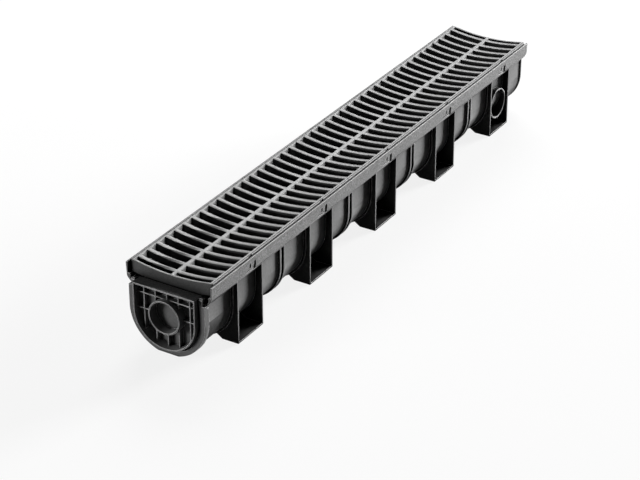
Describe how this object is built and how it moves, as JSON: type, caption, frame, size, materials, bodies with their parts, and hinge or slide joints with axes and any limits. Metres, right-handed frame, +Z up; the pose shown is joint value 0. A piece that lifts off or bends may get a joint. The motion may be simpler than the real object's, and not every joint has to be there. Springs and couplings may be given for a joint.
{
  "type": "channel drain",
  "caption": "Straight plastic drainage channel with a U trough on feet, a dished slotted grate and an end cap with a pipe outlet.",
  "frame": {"origin": "middle of the whole assembly's footprint, on the plane that the feet stand on", "axes": "+Y along the channel from the capped end to the open end, +X across it, +Z up to the grate"},
  "size_m": [0.15, 1.0154, 0.13],
  "materials": {
    "channel_plastic": "black moulded plastic, finely grained rim, satin walls",
    "grate_plastic": "black moulded plastic, satin bar tops",
    "cap_plastic": "black moulded plastic, satin"
  },
  "bodies": {
    "root": {"channel_body": "channel_plastic", "grate": "grate_plastic", "end_cap": "cap_plastic"}
  },
  "joints": []
}
